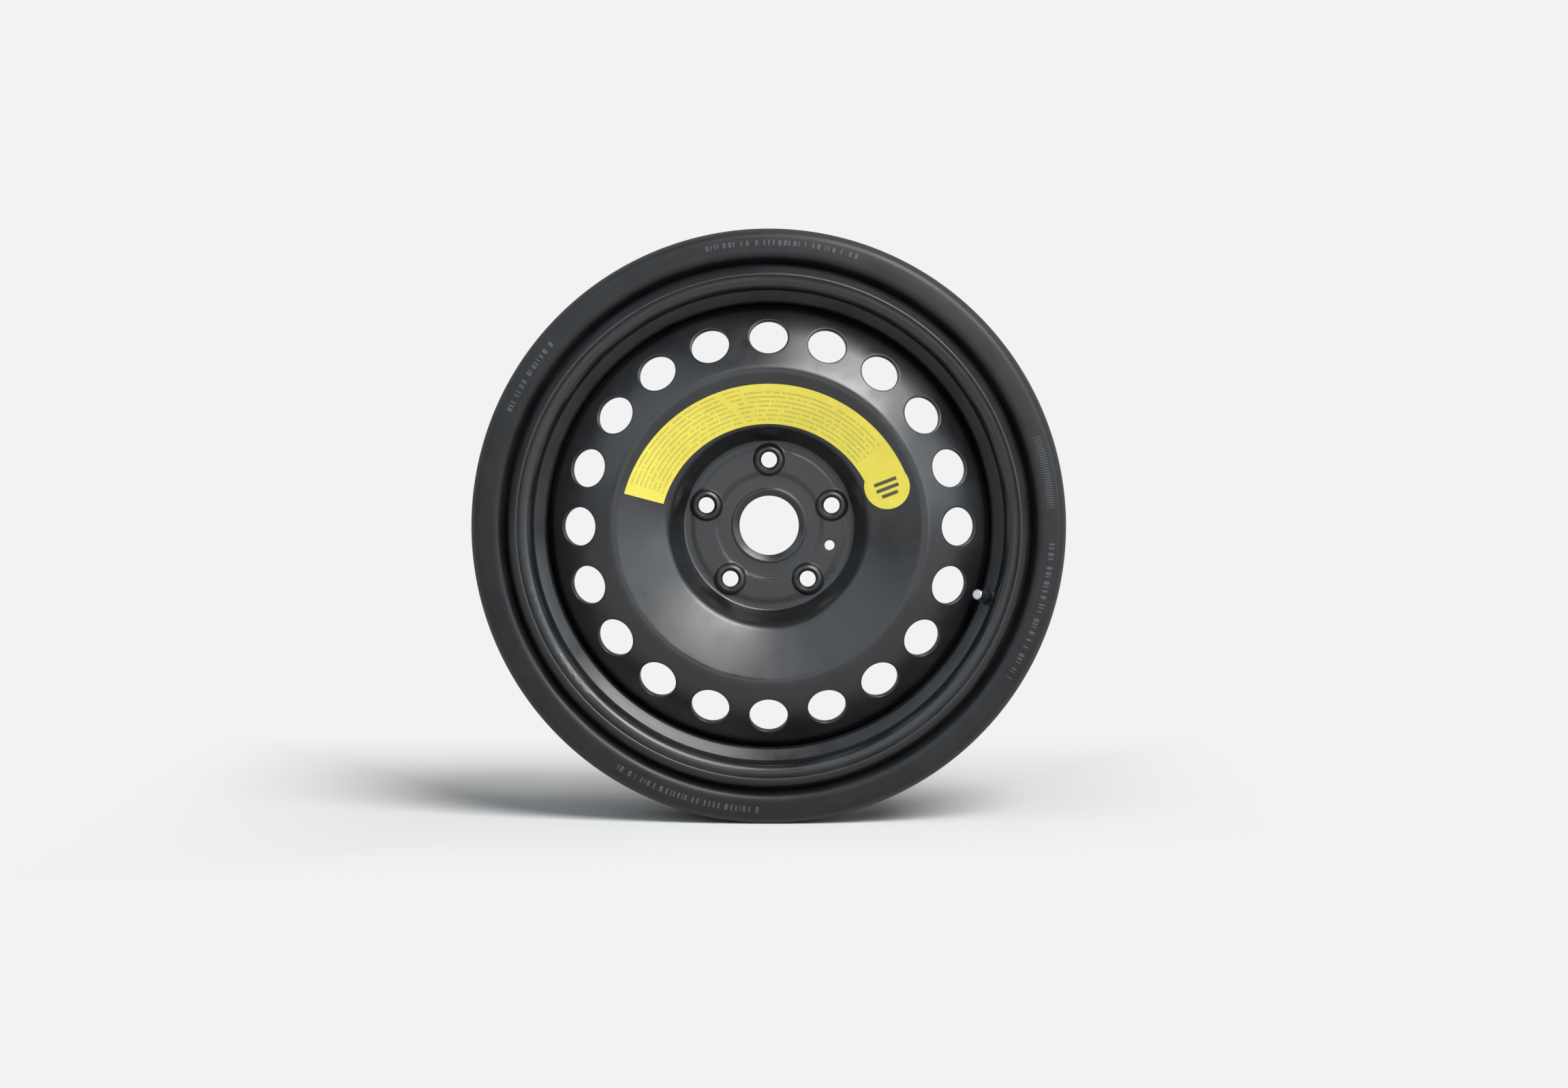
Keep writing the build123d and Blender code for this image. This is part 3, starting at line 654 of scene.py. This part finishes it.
def tyre_grid():
    """Spun section whose tread drops by groove depth + slot depth * (across mask) * (round mask)."""
    place, groove, first, second = tread_rows()
    across_tread = np.stack([tyre_radius - groove * GROOVE_DEPTH, place * MM], axis=1)
    sides = [tyre_outside, across_tread, tyre_outside[::-1] * (1, -1)]
    sides += [tyre_inside[1:-1] * (1, -1), tyre_inside[:0:-1]]
    step = np.array([0, 0.1, 0.2, 0.21, 0.29, 0.3, 0.4, 0.5, 0.6, 0.7, 0.71, 0.79, 0.8, 0.9])
    angles = ((np.arange(SLOT_PITCHES)[:, None] + step) * 2 * math.pi / SLOT_PITCHES).ravel()
    in_first = np.tile(abs(step - FIRST_SLOT) < SLOT_HALF, SLOT_PITCHES)[:, None]
    in_second = np.tile(abs(step - SECOND_SLOT) < SLOT_HALF, SLOT_PITCHES)[:, None]
    points = spin(np.concatenate(sides), angles)
    tread = slice(len(tyre_outside), len(tyre_outside) + len(place))
    sunk = SLOT_DEPTH * (in_first * first + in_second * second)
    points[:, tread] *= (1 - sunk / tyre_radius)[..., None] ** np.array([1, 0, 1])
    return points, True, True


tyre = mesh_piece("moulded_tyre", [tyre_grid()], "tyre")
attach(tyre, "wheel")

# %% [markdown]
# ## Marks on the sidewall
# Tyre moulds are engraved, so the rubber carries raised marks. Here they are plain bars in short rows
# and one field of fine ribs, each a low closed cushion that follows the sidewall's curve, so the light
# catches its edges.

# %% One raised mark
MARK_HEIGHT = 0.5 * MM
MARK_ROOT = 0.25 * MM
on_wall = tyre_outside[:, 0] > BULGE * MM
wall_radius, wall_axial = tyre_outside[on_wall].T
wall_normal = tyre_normal[on_wall]


def cushion(middle, width, low, high):
    """Low closed cushion on the sidewall between two radii and over an angle.

    Its outline is u^6 + v^6 = 1. On a line from its middle, s = 0, to the outline, s = 1, it stands
    1 - s^12 of its height above the wall, and sinks likewise below.
    """
    turn = full_turn(16)[None, :]
    s = np.array([0, 0.85, 1, 0.85, 0])[:, None]
    height = (1 - s**12) * np.array([MARK_HEIGHT, MARK_HEIGHT, 0, -MARK_ROOT, -MARK_ROOT])[:, None]
    reach = s / (np.cos(turn) ** 6 + np.sin(turn) ** 6) ** (1 / 6)
    radius = (low + high) / 2 + reach * np.sin(turn) * (high - low) / 2
    angle = middle + reach * np.cos(turn) * width / 2
    lean = [np.interp(radius, wall_radius, wall_normal[:, i]) for i in range(2)]
    out = radius + lean[0] * height
    level = np.interp(radius, wall_radius, wall_axial) + lean[1] * height
    return np.stack([out * np.cos(angle), level, out * np.sin(angle)], axis=-1), False, True


# %% Rows of bars and ribs
BAR_ROWS = ((72.0, 103.0), (140.0, 156.0), (238.0, 268.0), (328.0, 358.0))
BAR_WIDTHS = [0.3, 0.45, 0.75]
BAR_GAPS = [0.35, 0.5, 1.1]
BAR_RADII = (252.8 * MM, 258.2 * MM)
RIB_PLACES = np.arange(4.0, 19.0, 0.5)
RIB_WIDTH = 0.22
RIB_RADII = (250.6 * MM, 258.4 * MM)


def sidewall_marks():
    """Rows of bars at four places round the sidewall, and fine ribs at a fifth, in degrees."""
    chance = np.random.default_rng(7)
    grids = []
    for start, end in BAR_ROWS:
        place = start
        while place < end:
            width = chance.choice(BAR_WIDTHS)
            grids.append(cushion(math.radians(place), math.radians(width), *BAR_RADII))
            place += width + chance.choice(BAR_GAPS)
    for place in RIB_PLACES:
        grids.append(cushion(math.radians(place), math.radians(RIB_WIDTH), *RIB_RADII))
    return grids


tyre_marks = mesh_piece("sidewall_marks", sidewall_marks())
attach(tyre_marks, "wheel")

# %% [markdown]
# ## Thread of the valve stem
# The cap screws on to a fine thread at the end of the brass stem. The solid stem is plain there, so the
# thread is added as a helical ridge: a three-cornered section carried along a helix whose ends fade
# into the stem.

# %% Valve thread
VALVE_FOOT = np.array([199.91, -24.47, -64.96]) * MM
VALVE_AXIS = np.array([-0.545504, -0.819152, 0.177245])
THREAD_START = 12.2 * MM
THREAD_PITCH = 0.79 * MM
THREAD_TURNS = 7.5
THREAD_ROOT = 3.8 * MM
THREAD_CREST = 4.03 * MM
THREAD_FLANK = 0.42
THREAD_FADE = 0.4


def valve_place(across, beside, along):
    """Points given beside and along the valve's axis, in the wheel's frame."""
    first = np.cross((0, 1, 0), VALVE_AXIS)
    first /= np.linalg.norm(first)
    second = np.cross(VALVE_AXIS, first)
    parts = [(across, first), (beside, second), (along, VALVE_AXIS)]
    return VALVE_FOOT + sum(length[..., None] * direction for length, direction in parts)


def thread_grid():
    """Ridge on a helix: height = start + pitch * turn, crest radius fading to the root at both ends."""
    turn = np.linspace(0, THREAD_TURNS, 240)[:, None]
    fade = np.clip(np.minimum(turn, THREAD_TURNS - turn) / THREAD_FADE, 0, 1)
    corner = np.array([-THREAD_FLANK, 0.0, THREAD_FLANK])[None, :]
    crest = np.array([0, 1, 0])[None, :]
    radius = THREAD_ROOT + (THREAD_CREST - THREAD_ROOT) * crest * fade
    along = THREAD_START + THREAD_PITCH * (turn + corner * fade)
    angle = 2 * math.pi * turn
    return valve_place(radius * np.cos(angle), radius * np.sin(angle), along), False, True


valve_thread = mesh_piece("valve_thread", [thread_grid()], sharp=30.0)
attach(valve_thread, "wheel")

# %% [markdown]
# ## Spring of the valve core
# A coil of fine wire round the pin holds the valve shut, and shortens when the pin is pressed. A solid
# coil that rides on one body would be cut by the pin's collar, so the coil is made again as a round
# wire carried along a helix.

# %% Valve spring
SPRING_FOOT = 7.68 * MM
SPRING_TOP = 12.12 * MM
SPRING_RADIUS = 0.925 * MM
SPRING_WIRE = 0.13 * MM
SPRING_TURNS = 4


def spring_grid():
    """Wire of radius w on a helix of radius R, with closed ends: out = R + w cos s, along += w sin s."""
    rows = np.linspace(0, 1, 32 * SPRING_TURNS + 1)
    share = np.concatenate([[0], rows, [1]])[:, None]
    wire = SPRING_WIRE * np.concatenate([[0], 0 * rows + 1, [0]])[:, None]
    round_wire = full_turn(12)[None, :]
    out = SPRING_RADIUS + wire * np.cos(round_wire)
    along = SPRING_FOOT + (SPRING_TOP - SPRING_FOOT) * share + wire * np.sin(round_wire)
    angle = 2 * math.pi * SPRING_TURNS * share
    return valve_place(out * np.cos(angle), out * np.sin(angle), along), False, True


valve_spring = mesh_piece("valve_spring", [spring_grid()], "valve_core_spring")
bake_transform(valve_spring)

# %% [markdown]
# ## Satin black paint
# The steel is dipped in black paint and baked. It dries to a satin skin with a fine peel, and handling
# leaves cloudy, slightly duller patches that show only where a lamp is mirrored. A painted texture for
# each part would do, but noise over the object's own position covers every sheet alike, with no seams
# at the holes.


# %% Wheel paint
def paint_finish():
    """Dark base; roughness is clouds + smudges + specks; the peel is a few hundredths of a mm tall."""
    material, place, shader = new_finish("wheel_paint", IOR=1.45, Specular_IOR_Level=0.74)
    cloud = place.noise(15.0, 4.0, 0.55)
    smudge = place.noise(60.0, 5.0, 0.65)
    speck = place.noise(1900.0, 1.0).step(0.7, 0.76)
    peel = place.noise(1100.0, 2.0)
    shade = cloud.step(0.35, 0.68).blend((0.0062, 0.0066, 0.0074, 1), (0.0098, 0.0106, 0.012, 1))
    feed(shader, Base_Color=(speck * 0.6).blend(shade, (0.05, 0.052, 0.055, 1)))
    feed(shader, Roughness=cloud.step(0.3, 0.7, 0.22, 0.34) + smudge * 0.1 + speck * 0.12)
    feed(shader, Normal=bumped(peel, 0.000025))
    return material


wheel_paint = paint_finish()
dress(wheel_paint, "rim", "disc_welds")
wheel_disc.data.materials.append(wheel_paint)

# %% [markdown]
# ## Tyre rubber
# The tyre is black moulded rubber. Its mould was turned on a lathe, which leaves very fine rings on the
# sidewall, and the tread is duller than the side. All of it depends on the distance from the axle, so
# that distance is the signal that everything here is made from. The raised marks take the same finish
# in a greyer tone.

# %% Tyre rubber
TREAD_FADE = (tyre_radius - 0.006, tyre_radius - 0.001)
RINGS_RATE = 5200.0


def tyre_finish(name, dark, light):
    """Rings from a sine of the radius, grain from noise, and a duller tread beyond the shoulder."""
    material, place, shader = new_finish(name, Specular_IOR_Level=0.33)
    radius = place.polar()[0]
    tread = radius.step(*TREAD_FADE)
    cloud = place.noise(26.0, 4.0, 0.6)
    grain = place.noise(1500.0, 2.0)
    rings = place.math("SINE", radius * RINGS_RATE)
    shade = cloud.step(0.3, 0.7).blend((*dark, 1), (*light, 1))
    feed(shader, Base_Color=(tread * 0.8).blend(shade, (0.026, 0.026, 0.026, 1)))
    feed(shader, Roughness=cloud.step(0.3, 0.7, 0.33, 0.41) + tread * 0.2 + grain * 0.06)
    feed(shader, Normal=bumped(grain * 0.6 + rings * 0.12, 0.00007))
    return material


tyre_rubber = tyre_finish("tyre_rubber", (0.006, 0.0064, 0.007), (0.0098, 0.0104, 0.0114))
# The raised marks get the tyre's finish in a greyer tone.
grey_marks = tyre_finish("grey_marks", (0.036, 0.037, 0.039), (0.058, 0.059, 0.062))
tyre.data.materials.append(tyre_rubber)
tyre_marks.data.materials.append(grey_marks)
print("rubber on", tyre.name, "and", tyre_marks.name)

# %% [markdown]
# ## The label
# The label is a yellow film stuck in the bowl, with small print in arcs. Here the print is only the
# look of it: rows of plain dashes that follow the arc, and three plain bars on the round end. An image
# would need a flat layout of the film; a formula counts rows along the radius and dashes along the
# angle instead.

# %% Rows of dashes
LABEL_DROP = 0.006
LABEL_INNER = 0.0988
LABEL_OUTER = 0.135
LABEL_EDGE = 0.002
LABEL_SOFT = 0.0002
ROW_PITCH = 0.0041
DASHES_PER_RADIAN = 62.0
DASH_SHARE = 0.84
DASH_SHIFT = 7.3
STROKES_PER_RADIAN = 420.0
STROKE_SHIFT = 2.0
PRINT_START = 0.66
PRINT_END = 2.79
COLUMN_GAP = 1.78
SHORT_ROWS = 6.5


def label_print(place):
    """Mask of the print: a stripe for each row, cut into dashes, strokes and two columns."""
    radius, angle = place.polar(drop=LABEL_DROP)
    row = (radius - LABEL_INNER - LABEL_EDGE) / ROW_PITCH
    number = place.math("FLOOR", row)
    stripe = place.math("ABSOLUTE", row - number - 0.5).step(0.24, 0.14)
    along = angle * DASHES_PER_RADIAN + number * DASH_SHIFT
    cell = place.math("FLOOR", along)
    values = {"Vector": cell.join(number)}
    chance = place.node("ShaderNodeTexWhiteNoise", {"noise_dimensions": "2D"}, values)
    dash = place.math("ABSOLUTE", along - cell - 0.5).step(0.46, 0.38) * (chance > 1 - DASH_SHARE)
    phase = angle * STROKES_PER_RADIAN + number * STROKE_SHIFT
    stroke = place.math("SINE", phase).step(-0.5, 0.1, 0.45, 1.0)
    block = angle.step(PRINT_START, PRINT_START + 0.01) * angle.step(PRINT_END, PRINT_END - 0.01)
    block = block * radius.step(LABEL_INNER + LABEL_EDGE, LABEL_INNER + LABEL_EDGE + LABEL_SOFT)
    block = block * radius.step(LABEL_OUTER - LABEL_EDGE, LABEL_OUTER - LABEL_EDGE - LABEL_SOFT)
    column = place.math("ABSOLUTE", angle - COLUMN_GAP - number * 0.02).step(0.02, 0.03)
    right_side = angle.step(COLUMN_GAP - 0.02, COLUMN_GAP)
    short = number.step(SHORT_ROWS - 0.1, SHORT_ROWS + 0.1) * (1 - right_side)
    return stripe * dash * stroke * block * column * (1 - short)


# %% [markdown]
# ## Bars on the round end
# The round end of the film carries its largest print, kept here to three plain bars. Thin blocks would
# be simpler, but they would stand proud of a film that is flat, so each bar is a mask: 1 within half a
# width and half a length of its middle.

# %% Three bars
SPOT_RADIUS = 0.1151
SPOT_TURN = math.radians(21.6)
BAR_HALF_WIDTH = 0.0017
BARS = ((-0.0075, 0.0075), (-0.0015, 0.0105), (0.0045, 0.0105))


def spot_bars(place):
    """Mask of three bars across the arc: |up - bar place| < half width and |side| < half length."""
    x, _, z = place.split()
    z = z + LABEL_DROP
    side = x * math.cos(SPOT_TURN) + z * math.sin(SPOT_TURN) - SPOT_RADIUS
    up = z * math.cos(SPOT_TURN) - x * math.sin(SPOT_TURN)
    total = 0
    for bar_place, half_length in BARS:
        across = place.math("ABSOLUTE", up - bar_place).step(BAR_HALF_WIDTH, BAR_HALF_WIDTH - LABEL_SOFT)
        inside = place.math("ABSOLUTE", side).step(half_length + LABEL_SOFT, half_length)
        total = across * inside + total
    return total


# %% [markdown]
# ## Film and ink
# Ink and film are one surface, so one shader holds both and the masks only move its colour from film to
# ink. Two materials split along the print would need faces cut to every dash.


# %% Label film
def label_finish():
    """Yellow film with a faint cloud, worn print and dark bars; the print is a little duller."""
    material, place, shader = new_finish("label_film", Specular_IOR_Level=0.35)
    cloud = place.noise(40.0, 3.0)
    wear = place.noise(900.0, 2.0).step(0.2, 0.6, 0.55, 0.9)
    ink = label_print(place)
    film = cloud.step(0.3, 0.7).blend((0.535, 0.458, 0.0565, 1), (0.585, 0.503, 0.065, 1))
    inked = (ink * wear * 0.8).blend(film, (0.2, 0.17, 0.06, 1))
    feed(shader, Base_Color=(spot_bars(place) * 0.93).blend(inked, (0.03, 0.03, 0.028, 1)))
    feed(shader, Roughness=cloud.step(0.3, 0.7, 0.46, 0.54) + ink * 0.08)
    return material


dress(label_finish(), "information_label")

# %% [markdown]
# ## Valve pieces
# The valve has a moulded rubber body, a turned brass stem and core, a red seal, a drawn steel spring
# and a bright plated cap. Each is a few millimetres across, so a picture of it would show nothing but
# its colour and its shine, with a very fine grain. One function makes all the finishes from two tones,
# a roughness and a grain.


# %% Valve finishes
def small_finish(name, dark, light, roughness, metallic, grain, depth):
    """Noise of one grain moves the colour between two tones and the height by depth; haze is slower."""
    material, place, shader = new_finish(name, Metallic=metallic)
    tone = place.noise(grain, 3.0)
    haze = place.noise(grain / 6, 2.0)
    feed(shader, Base_Color=tone.step(0.3, 0.7).blend((*dark, 1), (*light, 1)))
    feed(shader, Roughness=haze.step(0.3, 0.7, roughness - 0.05, roughness + 0.05) + tone * 0.04)
    feed(shader, Normal=bumped(tone, depth))
    return material


valve_rubber = small_finish("valve_rubber", (0.011,) * 3, (0.017,) * 3, 0.5, 0, 2500.0, 3e-5)
valve_brass = small_finish("valve_brass", (0.66, 0.46, 0.19), (0.74, 0.55, 0.26), 0.3, 1, 4000.0, 8e-6)
seal_plastic = small_finish("seal_plastic", (0.62, 0.1, 0.06), (0.7, 0.14, 0.09), 0.5, 0, 3000.0, 1e-5)
spring_steel = small_finish("spring_steel", (0.5, 0.5, 0.52), (0.6, 0.6, 0.62), 0.3, 1, 6000.0, 5e-6)
cap_metal = small_finish("cap_metal", (0.5, 0.5, 0.52), (0.58, 0.58, 0.6), 0.3, 1, 3000.0, 6e-6)
dress(valve_rubber, "valve_body", "valve_cap_seal", "valve_core_gasket")
dress(valve_brass, "valve_stem", "valve_core_plug", "valve_core_barrel")
dress(valve_brass, "valve_core_pin", "valve_core_cup")
dress(seal_plastic, "valve_core_seal")
dress(cap_metal, "valve_cap")
valve_thread.data.materials.append(valve_brass)
valve_spring.data.materials.append(spring_steel)

# %% [markdown]
# ## Floor and backdrop
# The wheel stands on a pale seamless floor before a pale backdrop. A curved sheet is the studio's own
# way; a flat floor that fades into the backdrop's colour further off does the same with one square, and
# keeps the soft shadow near the wheel. The room in front is dim for mirrored rays, which leaves the
# black paint dark where it mirrors no lamp.

# %% Floor
BACKDROP = (0.887, 0.887, 0.887, 1)
ROOM = (0.05, 0.05, 0.05, 1)
FLOOR = (0.742, 0.73, 0.716, 1)
FLOOR_SIZE = 30.0
FADE_BEHIND = (0.0, 0.85)
FADE_AHEAD = (-0.5, -0.1)
FADE_RIGHT = (0.1, 0.5)
FADE_LEFT = (-0.65, -0.2)
floor_height = tyre_low.z
scene = bpy.context.scene
scene.view_settings.view_transform = "Standard"


def ray_kinds(start):
    """1 for rays from the camera, and 1 for rays from mirrors and through glass."""
    kinds = ("Is Camera Ray", "Is Glossy Ray", "Is Transmission Ray")
    camera, glossy, through = [start.node("ShaderNodeLightPath", out=kind) for kind in kinds]
    return camera, start.math("MINIMUM", glossy + through, 1.0)


def studio_floor():
    """Square floor: pale near the wheel, and the backdrop's own colour behind, beside and before it."""
    signs = ((-1, -1), (1, -1), (1, 1), (-1, 1))
    corners = [(FLOOR_SIZE * x, FLOOR_SIZE * y, floor_height) for x, y in signs]
    mesh = bpy.data.meshes.new("studio_floor")
    mesh.from_pydata(corners, [], [(0, 1, 2, 3)])
    floor = bpy.data.objects.new("studio_floor", mesh)
    scene.collection.objects.link(floor)
    material = bpy.data.materials.new("studio_floor")
    material.use_nodes = True
    tree = material.node_tree
    start = Signal(tree)
    x, y, _ = start.node("ShaderNodeTexCoord", out=3).split()
    behind = y.step(*FADE_BEHIND)
    ahead = y.step(*FADE_AHEAD, 1.0, 0.0)
    aside = x.step(*FADE_RIGHT) + x.step(*FADE_LEFT, 1.0, 0.0)
    camera, mirrored = ray_kinds(start)
    far = start.math("MAXIMUM", start.math("MAXIMUM", behind, aside), ahead) * (camera + mirrored)
    lit = start.node("ShaderNodeBsdfDiffuse", None, {"Color": FLOOR})
    glow = start.node("ShaderNodeEmission", None, {"Color": BACKDROP})
    mixed = start.node("ShaderNodeMixShader", None, {0: far, 1: lit, 2: glow})
    tree.links.new(mixed.socket, tree.nodes["Material Output"].inputs["Surface"])
    mesh.materials.append(material)


studio_floor()
print("floor at", round(floor_height, 4), "m")


# %% Backdrop
def studio_world():
    """Backdrop colour for the camera and for mirrored rays that go back; a dim room for all others."""
    world = bpy.data.worlds.new("studio")
    scene.world = world
    world.use_nodes = True
    start = Signal(world.node_tree)
    camera, mirrored = ray_kinds(start)
    depth = start.node("ShaderNodeTexCoord", out=0).split()[1]
    pale = start.math("MINIMUM", camera + mirrored * depth.step(-0.05, 0.25), 1.0)
    feed(world.node_tree.nodes["Background"], Color=pale.blend(ROOM, BACKDROP))


studio_world()
print("backdrop", BACKDROP[:3], "and room", ROOM[:3])

# %% [markdown]
# ## Lamps
# Black satin paint shows little but what it mirrors, so the lamps are large soft boxes, each put where
# one part of the wheel mirrors it: the key on the upper right of the vented ring and the lower left of
# the bowl, a cool panel on each side, and a weak fill beside the camera for the flat hub. Small lamps
# would be simpler to place, but they would leave sharp spots.


# %% Lamps
def soft_box(name, toward, distance, size, radiance, color=(1, 1, 1), roll=0.0):
    """Flat lamp that looks at the wheel from a direction; its power is radiance * area * pi."""
    lamp = bpy.data.lights.new(name, "AREA")
    lamp.shape = "RECTANGLE"
    lamp.size, lamp.size_y = size
    lamp.energy = radiance * size[0] * size[1] * math.pi
    lamp.color = color
    holder = bpy.data.objects.new(name, lamp)
    direction = Vector(toward).normalized()
    turn = direction.to_track_quat("Z", "Y") @ Quaternion((0, 0, 1), math.radians(roll))
    holder.location = direction * distance
    holder.rotation_euler = turn.to_euler()
    scene.collection.objects.link(holder)
    print(name, round(lamp.energy), "W")


soft_box("key", (0.37, -0.65, 0.66), 6.0, (3.6, 3.0), 14.8, (0.97, 0.985, 1.0), roll=-38.7)
soft_box("right_panel", (0.74, -0.65, 0.17), 5.0, (3.8, 1.6), 4.0, (0.84, 0.93, 1.0), roll=20.0)
soft_box("front_fill", (0.0, -1.0, 0.1), 4.0, (2.4, 1.1), 1.8)
soft_box("left_panel", (-0.6, -0.63, 0.49), 5.0, (6.0, 3.8), 1.6, (0.82, 0.92, 1.0))

# %% [markdown]
# ## Camera
# The photograph was taken almost square on, from a little above and to the right, with a long lens. The
# camera's place could be found by eye; here it is given as an azimuth, an elevation and a distance, with
# the focal length as a lens length in pixels, and it is aimed by the wheel's centre in the picture.

# %% Camera
PHOTO_SIZE = (2301, 1596)
WHEEL_CENTRE_PIXEL = (1129.0, 770.1)
CAMERA_AZIMUTH = math.radians(1.0)
CAMERA_ELEVATION = math.radians(2.0)
CAMERA_DISTANCE = 3.25
LENS_PIXELS = 5204.0
SENSOR = 36.0


def studio_camera():
    """Camera on a sphere round the wheel, aimed beside its centre by its offset in the picture."""
    data = bpy.data.cameras.new("camera")
    camera = bpy.data.objects.new("camera", data)
    scene.collection.objects.link(camera)
    data.sensor_width = SENSOR
    data.lens = LENS_PIXELS * SENSOR / PHOTO_SIZE[0]
    ground = math.cos(CAMERA_ELEVATION)
    across, ahead = math.sin(CAMERA_AZIMUTH) * ground, -math.cos(CAMERA_AZIMUTH) * ground
    spot = Vector((across, ahead, math.sin(CAMERA_ELEVATION)))
    camera.location = spot * CAMERA_DISTANCE
    metres_per_pixel = CAMERA_DISTANCE / LENS_PIXELS
    facing = (-spot).to_track_quat("-Z", "Y")
    right = facing @ Vector((1, 0, 0)) * (PHOTO_SIZE[0] / 2 - WHEEL_CENTRE_PIXEL[0])
    down = facing @ Vector((0, -1, 0)) * (PHOTO_SIZE[1] / 2 - WHEEL_CENTRE_PIXEL[1])
    aim = (right + down) * metres_per_pixel
    camera.rotation_euler = (aim - camera.location).to_track_quat("-Z", "Y").to_euler()
    scene.camera = camera
    print("lens", round(data.lens, 1), "mm")


studio_camera()
